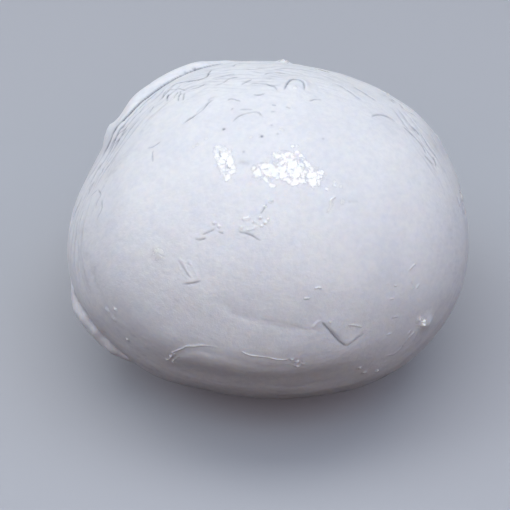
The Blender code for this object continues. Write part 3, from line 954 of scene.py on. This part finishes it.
@dataclass(frozen=True)
class StretchedCurdSkin:
    """Stretched-curd (pasta filata) skin, shaped by hand in hot water and kept in whey.

    The eye sees milk-white curd with light scattered a millimetre or so inside it, fine drawn fibres,
    a satin surface where it has dried, and clear gloss where whey still lies on it. Shade is painted into the creases
    and pits and round the film's islands, and a highlight is painted white under the film.
    """

    white: str = "#F4F4F6"  # fat-rich curd
    grey: str = "#E9EAEF"  # where the skin is thin and more see-through
    painted_shade: str = "#6E7282"  # painted shade, down in creases and pits and in a ring round the film's islands
    painted_highlight_white: str = "#FFFFFF"  # painted highlight: the skin is painted pure white where the whey film lies
    ior: float = 1.4  # wet curd
    film_ior: float = 1.9  # fat and whey drying to a glaze
    rim_shade: float = 0.16  # how strong the ring of shade painted round each film island is
    scatter_radius: tuple[float, float, float] = (1.0, 0.86, 0.72)
    scatter_scale: float = 0.15 * MM
    dry: float = 0.55
    wet: float = 0.06

    def material(self) -> bpy.types.Material:
        """Makes the material.

        Returns:
            The finished material.
        """
        material = bpy.data.materials.new("stretched_curd_skin")
        material.use_nodes = True
        tree = material.node_tree
        shader = tree.nodes["Principled BSDF"]
        object_place = add_node(tree, "ShaderNodeTexCoord").outputs["Object"]
        in_mm = add_node(
            tree, "ShaderNodeVectorMath", {0: object_place, "Scale": 1 / MM}, operation="SCALE"
        ).outputs[0]
        laid = self.laid_film(tree, in_mm)
        film = add_node(
            tree, "ShaderNodeMapRange", {0: laid, 1: 2.12, 2: 2.2}, interpolation_type="SMOOTHSTEP"
        ).outputs[0]
        # a ring of shade painted just outside each film island
        rim = add_node(tree, "ShaderNodeMapRange", {0: laid, 1: 1.7, 2: 2.12, 4: self.rim_shade}).outputs[0]
        rimmed = add_node(
            tree, "ShaderNodeMix", {0: rim, 6: self.colour(tree, in_mm), 7: srgb(self.painted_shade)}, data_type="RGBA"
        ).outputs[2]
        # painted highlight: under the film the base colour turns pure white; the film's gloss itself comes from the
        # coat
        coloured = add_node(
            tree, "ShaderNodeMix", {0: film, 6: rimmed, 7: srgb(self.painted_highlight_white)}, data_type="RGBA"
        ).outputs[2]
        tree.links.new(coloured, shader.inputs["Base Color"])
        tree.links.new(self.roughness(tree, in_mm), shader.inputs["Roughness"])
        tree.links.new(film, shader.inputs["Coat Weight"])
        shader.inputs["Coat Roughness"].default_value = self.wet
        shader.inputs["Coat IOR"].default_value = self.film_ior
        relief = self.relief(tree, in_mm, film)
        tree.links.new(relief, shader.inputs["Normal"])
        tree.links.new(relief, shader.inputs["Coat Normal"])
        shader.inputs["IOR"].default_value = self.ior
        shader.inputs["Subsurface Weight"].default_value = 1.0
        shader.inputs["Subsurface Radius"].default_value = self.scatter_radius
        shader.inputs["Subsurface Scale"].default_value = self.scatter_scale
        return material

    def colour(self, tree: bpy.types.NodeTree, in_mm: bpy.types.NodeSocket) -> bpy.types.NodeSocket:
        """Patches of thinner skin 11 mm across, mottles of 1.2 mm, and shade painted down in the creases."""
        patches = add_node(tree, "ShaderNodeTexNoise", {"Vector": in_mm, "Scale": 1 / 11, "Detail": 4.0, "Roughness": 0.6})
        mottles = add_node(tree, "ShaderNodeTexNoise", {"Vector": in_mm, "Scale": 1 / 1.2, "Detail": 3.0, "Roughness": 0.6})
        both = add_node(
            tree, "ShaderNodeMath", {0: mottles.outputs[0], 1: 1.1, 2: patches.outputs[0]}, operation="MULTIPLY_ADD"
        ).outputs[0]
        part = add_node(tree, "ShaderNodeMapRange", {0: both, 1: 0.78, 2: 1.33}).outputs[0]
        skin = add_node(
            tree, "ShaderNodeMix", {0: part, 6: srgb(self.white), 7: srgb(self.grey)}, data_type="RGBA"
        ).outputs[2]
        # painted shade: the skin turns towards the shade colour down in creases and pits
        painted_crease_shade = add_node(tree, "ShaderNodeAttribute", attribute_name="crease").outputs["Fac"]
        return add_node(
            tree, "ShaderNodeMix", {0: painted_crease_shade, 6: skin, 7: srgb(self.painted_shade)}, data_type="RGBA"
        ).outputs[2]

    def laid_film(self, tree: bpy.types.NodeTree, in_mm: bpy.types.NodeSocket) -> bpy.types.NodeSocket:
        """How much whey lies on the skin, with a ragged edge and cracked into islands 1.8 mm wide; a highlight is
        painted white where it lies.
        """
        laid = add_node(tree, "ShaderNodeAttribute", attribute_name="film").outputs["Fac"]
        ragged = add_node(tree, "ShaderNodeTexNoise", {"Vector": in_mm, "Scale": 1 / 0.8, "Detail": 4.0, "Roughness": 0.65})
        bent = add_node(
            tree, "ShaderNodeVectorMath", {0: ragged.outputs[1], 1: (2.4, 2.4, 2.4), 2: in_mm}, operation="MULTIPLY_ADD"
        ).outputs[0]
        islands = add_node(
            tree, "ShaderNodeTexVoronoi", {"Vector": bent, "Scale": 1 / 1.8}, feature="DISTANCE_TO_EDGE"
        ).outputs["Distance"]
        crack = add_node(tree, "ShaderNodeMapRange", {0: islands, 1: 0.02, 2: 0.09, 3: -0.6, 4: 0.0}).outputs[0]
        total = add_node(
            tree, "ShaderNodeMath", {0: ragged.outputs[0], 1: 2.4, 2: laid}, operation="MULTIPLY_ADD"
        ).outputs[0]
        return add_node(tree, "ShaderNodeMath", {0: total, 1: crack}, operation="ADD").outputs[0]

    def roughness(self, tree: bpy.types.NodeTree, in_mm: bpy.types.NodeSocket) -> bpy.types.NodeSocket:
        """Satin, a little uneven."""
        uneven = add_node(tree, "ShaderNodeTexNoise", {"Vector": in_mm, "Scale": 1 / 2.2, "Detail": 2.0}).outputs[0]
        return add_node(
            tree, "ShaderNodeMapRange", {0: uneven, 1: 0.3, 2: 0.7, 3: self.dry - 0.08, 4: self.dry + 0.08}
        ).outputs[0]

    def relief(
        self, tree: bpy.types.NodeTree, in_mm: bpy.types.NodeSocket, film: bpy.types.NodeSocket
    ) -> bpy.types.NodeSocket:
        """Drawn fibres about 0.7 mm apart and a curd grain of 1.1 mm, both levelled under the film."""
        drawn = add_node(tree, "ShaderNodeAttribute", attribute_name="drawn").outputs["Vector"]
        along = add_node(tree, "ShaderNodeMapping", {"Vector": drawn, "Scale": (1 / 0.7, 1 / 5, 1 / 5)}).outputs[0]
        fibres = add_node(
            tree, "ShaderNodeTexNoise", {"Vector": along, "Scale": 1.0, "Detail": 3.0, "Distortion": 0.6}
        ).outputs[0]
        grain = add_node(
            tree, "ShaderNodeTexNoise", {"Vector": in_mm, "Scale": 1 / 1.1, "Detail": 4.0, "Roughness": 0.65}
        ).outputs[0]
        bare = add_node(tree, "ShaderNodeMapRange", {0: film, 3: 1.0, 4: 0.2}).outputs[0]
        first = add_node(
            tree, "ShaderNodeBump", {"Strength": bare, "Distance": 0.03 * MM, "Height": fibres}
        ).outputs[0]
        second = add_node(
            tree, "ShaderNodeBump", {"Strength": bare, "Distance": 0.11 * MM, "Height": grain, "Normal": first}
        ).outputs[0]
        return add_node(
            tree, "ShaderNodeBump", {"Strength": 1.0, "Distance": 0.04 * MM, "Height": film, "Normal": second}
        ).outputs[0]


@dataclass
class MozzarellaBall:
    """The ball: one closed skin, its marks and its finish."""

    cuts: int = 66  # across each face of the starting cube
    reaches: tuple[float, ...] = (1.2, 0.55, 0.3)  # cut finer within these distances of a mark
    finish: StretchedCurdSkin = StretchedCurdSkin()

    def marks(self) -> list[Mark]:
        """Every named mark on the skin."""
        parts = (Form(), PinchedRoll(), Crown(), FrontSkin(), RightSide(), BackSkin(), WheyFilm())
        return [mark for part in parts for mark in part.marks()]

    def all_over(self) -> list[StretchLines | Unevenness]:
        """The lines and lumps that go all over the skin."""
        return [
            Unevenness(lump=14.0, height=0.2, start=3.0),
            Unevenness(lump=5.0, height=0.09, start=11.0),
            Unevenness(lump=2.2, height=0.035, start=19.0),
            StretchLines(across=2.6, along=15.0, depth=0.12, thin=0.05, start=5.0),
            StretchLines(across=1.5, along=9.0, depth=0.07, thin=0.09, start=13.0),
        ]

    def details(self, marks: list[Mark], finest: bool) -> list[tuple[np.ndarray, float]]:
        """What the grid is cut finer along.

        Args:
            marks: the named marks.
            finest: whether only the raised edges, beads and crumbs are wanted.

        Returns:
            For each fine mark, even points along it and how wide it is on each side of them.
        """
        if finest:
            marks = [m for m in marks if isinstance(m, (Bead, Crumble)) or (isinstance(m, Thread) and m.rise is Rise.OUT)]
        found = []
        for mark in marks:
            if isinstance(mark, (Strands, Film)):
                wide = mark.reach if isinstance(mark, Strands) else 1.3 * mark.spread
                points = smooth_path(mark.path, 0.5) if len(mark.path) > 1 else direction(mark.path[0])[None] * HALF_SIZES
                found.append((points, wide))
            elif isinstance(mark, (Fold, Thread)):
                found.append((smooth_path(mark.path, 0.5), 0.0))
            elif isinstance(mark, (Bead, Crumble)):
                found.append(((direction(mark.at) * HALF_SIZES)[None], 0.0))
        return found

    def near_detail(self, directions: np.ndarray, details: list[tuple[np.ndarray, float]], reach: float) -> np.ndarray:
        """Whether each direction's point lies near a detail.

        Args:
            directions: the directions to look at.
            details: the details, each with its width.
            reach: how far beyond a detail's width still counts as near.

        Returns:
            One truth value for each direction.
        """
        places = directions * HALF_SIZES
        near = np.zeros(len(directions), bool)
        for line, wide in details:
            middle = line.mean(axis=0)
            span = np.linalg.norm(line - middle, axis=1).max() + wide + reach
            chosen = np.flatnonzero(np.linalg.norm(places - middle, axis=1) < span)
            if len(chosen):
                gaps = np.linalg.norm(places[chosen, None] - line[None], axis=2).min(axis=1)
                near[chosen] |= gaps < wide + reach
        return near

    def build(self) -> bpy.types.Object:
        """Makes the ball's mesh and object.

        Returns:
            The ball, in the scene.
        """
        marks = self.marks()
        grid = bmesh.new()
        bmesh.ops.create_cube(grid, size=2)
        bmesh.ops.subdivide_edges(grid, edges=grid.edges[:], cuts=self.cuts, use_grid_fill=True)
        warped = unit(np.tan(np.array([v.co for v in grid.verts]) * math.pi / 4))
        for vertex, place in zip(grid.verts, warped):
            vertex.co = place
        for level, reach in enumerate(self.reaches):
            details = self.details(marks, finest=level == 2)
            middles = unit(np.array([(e.verts[0].co + e.verts[1].co) for e in grid.edges]))
            near = self.near_detail(middles, details, reach)
            edges = [edge for edge, chosen in zip(grid.edges, near) if chosen]
            bmesh.ops.subdivide_edges(grid, edges=edges, cuts=1, use_grid_fill=True)
            bmesh.ops.triangulate(grid, faces=grid.faces[:])
        for vertex in grid.verts:
            vertex.co.normalize()
        data = bpy.data.meshes.new("mozzarella_ball_skin")
        grid.to_mesh(data)
        grid.free()
        self.shape(data, marks)
        ball = bpy.data.objects.new("mozzarella_ball_skin", data)
        bpy.context.scene.collection.objects.link(ball)
        return ball

    def shape(self, data: bpy.types.Mesh, marks: list[Mark]) -> None:
        """Moves the sphere's points out to the skin and stores what the finish reads.

        Args:
            data: the unit sphere.
            marks: the named marks.
        """
        flat = np.empty(len(data.vertices) * 3)
        data.vertices.foreach_get("co", flat)
        relief = Relief(flat.reshape(-1, 3))
        for mark in marks:
            if isinstance(mark, Thread):
                relief.gather(mark.path, mark.wander)
            elif isinstance(mark, Fold) and mark.lines:
                relief.gather(mark.path, mark.wander)
        for mark in [*marks, *self.all_over()]:
            mark.shape(relief)
        points = relief.settled()
        low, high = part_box(BALL)
        middle = (np.array(low) + np.array(high)) / 2 / MM
        points[:, :2] += middle[:2] + OFF_MIDDLE
        points[:, 2] += low[2] / MM - points[:, 2].min()
        data.vertices.foreach_set("co", (points * MM).ravel())
        # crease holds the shade painted into creases and pits; film holds the whey film's gloss and the highlight
        # painted white under it
        for name, values in (("crease", relief.crease), ("film", relief.film)):
            layer = data.attributes.new(name, "FLOAT", "POINT")
            layer.data.foreach_set("value", np.clip(values, 0, 1.5).astype(np.float32))
        layer = data.attributes.new("drawn", "FLOAT_VECTOR", "POINT")
        layer.data.foreach_set("vector", relief.drawn.astype(np.float32).ravel())
        data.update()
        data.shade_smooth()

    def dress(self, ball: bpy.types.Object) -> None:
        """Gives the ball its finish, and sets it in the frame in place of its solid."""
        ball.data.materials.append(self.finish.material())
        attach(ball, "root")
        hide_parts("mozzarella_ball")


@dataclass(frozen=True)
class TableTop:
    """A plain pale table top."""

    side: float = 3.0
    colour: str = "#B9BBC1"
    roughness: float = 0.6

    def build(self) -> bpy.types.Object:
        """Makes the table top, and hides it from diffuse rays so that it bounces no light on to the ball.

        Returns:
            The table top, in the scene.
        """
        mesh = bmesh.new()
        bmesh.ops.create_grid(mesh, x_segments=1, y_segments=1, size=self.side / 2)
        data = bpy.data.meshes.new("table_top")
        mesh.to_mesh(data)
        mesh.free()
        table = bpy.data.objects.new("table_top", data)
        bpy.context.scene.collection.objects.link(table)
        material = bpy.data.materials.new("matt_laminate")
        material.use_nodes = True
        shader = material.node_tree.nodes["Principled BSDF"]
        shader.inputs["Base Color"].default_value = srgb(self.colour)
        shader.inputs["Roughness"].default_value = self.roughness
        data.materials.append(material)
        table.visible_diffuse = False
        return table


@dataclass(frozen=True)
class Softbox:
    """A rectangular soft light that faces the ball's middle."""

    bearing: float  # degrees round from the front, towards +X
    rise: float  # degrees over the horizon
    glow: tuple[float, float, float]  # red, green and blue radiance
    size: tuple[float, float] = (0.5, 0.4)  # metres
    away: float = 0.9  # metres

    def build(self, name: str) -> None:
        """Hangs the softbox.

        Args:
            name: the lamp's name.
        """
        light = bpy.data.lights.new(name, "AREA")
        light.shape = "RECTANGLE"
        light.size, light.size_y = self.size
        light.energy = max(self.glow) * math.pi * self.size[0] * self.size[1]
        light.color = [part / max(self.glow) for part in self.glow]
        lamp = bpy.data.objects.new(name, light)
        toward = Vector(direction((self.bearing, self.rise)))
        lamp.location = Vector((0, 0, STAND * MM)) + toward * self.away
        lamp.rotation_euler = toward.to_track_quat("Z", "Y").to_euler()
        bpy.context.scene.collection.objects.link(lamp)


@dataclass(frozen=True)
class Studio:
    """The studio: one softbox overhead and a tent of weaker ones all round."""

    overhead: Softbox = Softbox(180, 83, (2.6, 2.6, 2.6), size=(0.75, 0.3), away=0.6)
    high_front: tuple[float, float, float] = (0.74, 0.93, 1.07)
    mid_front: tuple[float, float, float] = (1.46, 1.25, 1.32)
    left: tuple[float, float, float] = (1.6, 1.67, 1.85)
    low_left: tuple[float, float, float] = (0.85, 0.92, 1.3)
    high_left: tuple[float, float, float] = (0.69, 0.86, 0.91)
    right: tuple[float, float, float] = (1.06, 1.07, 1.32)
    low_right: tuple[float, float, float] = (1.22, 1.23, 1.5)
    high_right: tuple[float, float, float] = (0.08, 0.27, 0.47)
    high_behind: tuple[float, float, float] = (0.05, 0.05, 0.06)
    behind: tuple[float, float, float] = (0.23, 0.23, 0.25)
    low_behind: tuple[float, float, float] = (0.95, 0.97, 1.05)

    def build(self) -> None:
        """Hangs the softboxes and dims the walls."""
        self.overhead.build("overhead_softbox")
        low = (0.5, 0.22)
        tent = [Softbox(bearing, 58, self.high_front) for bearing in (-45, 0, 45)]
        tent += [Softbox(bearing, 30, self.mid_front) for bearing in (-45, 0, 45)]
        tent += [Softbox(-90, 30, self.left), Softbox(-90, 8, self.low_left, size=low)]
        tent += [Softbox(90, 30, self.right), Softbox(90, 8, self.low_right, size=low)]
        tent += [Softbox(-90, 58, self.high_left), Softbox(90, 58, self.high_right)]
        tent += [Softbox(bearing, 58, self.high_behind) for bearing in (135, 180, 225)]
        tent += [Softbox(bearing, 30, self.behind) for bearing in (135, 180, 225)]
        tent += [Softbox(bearing, 8, self.low_behind) for bearing in (155, 190, 225)]
        for number, softbox in enumerate(tent):
            softbox.build(f"tent_softbox_{number:02d}")
        world = bpy.data.worlds.new("studio_walls")
        world.use_nodes = True
        world.node_tree.nodes["Background"].inputs["Strength"].default_value = 0.0
        bpy.context.scene.world = world
        bpy.context.scene.view_settings.view_transform = "Standard"


@dataclass(frozen=True)
class Viewpoint:
    """The camera: in front of the ball, looking down on it."""

    rise: float = 39.5
    away: float = 0.41
    lens: float = 134.96
    aim: tuple[float, float] = (-3.11, -5.68)  # right and up of the ball's middle, in millimetres

    def build(self) -> None:
        """Sets up the camera."""
        back = Vector(direction((0, self.rise)))
        middle = Vector((0, 0, STAND * MM))
        up = Vector((0, math.sin(math.radians(self.rise)), math.cos(math.radians(self.rise))))
        target = middle + Vector((1, 0, 0)) * self.aim[0] * MM + up * self.aim[1] * MM
        data = bpy.data.cameras.new("camera")
        data.lens = self.lens
        data.sensor_width = 36.0
        data.clip_start, data.clip_end = 0.01, 20.0
        camera = bpy.data.objects.new("camera", data)
        camera.location = middle + back * self.away
        camera.rotation_euler = (camera.location - target).to_track_quat("Z", "Y").to_euler()
        bpy.context.scene.collection.objects.link(camera)
        bpy.context.scene.camera = camera


def main() -> None:
    """Builds the camera, the ball, the table and the lights."""
    logging.basicConfig(level=logging.INFO, format="%(name)s: %(message)s")
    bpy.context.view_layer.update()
    Viewpoint().build()
    log.info("camera set at %.1f degrees", Viewpoint().rise)
    maker = MozzarellaBall()
    ball = maker.build()
    maker.dress(ball)
    log.info("%s: %d points, %d faces", ball.name, len(ball.data.vertices), len(ball.data.polygons))
    table = TableTop().build()
    log.info("%s is stage", table.name)
    Studio().build()
    log.info("studio lit")


if __name__ == "__main__":
    main()
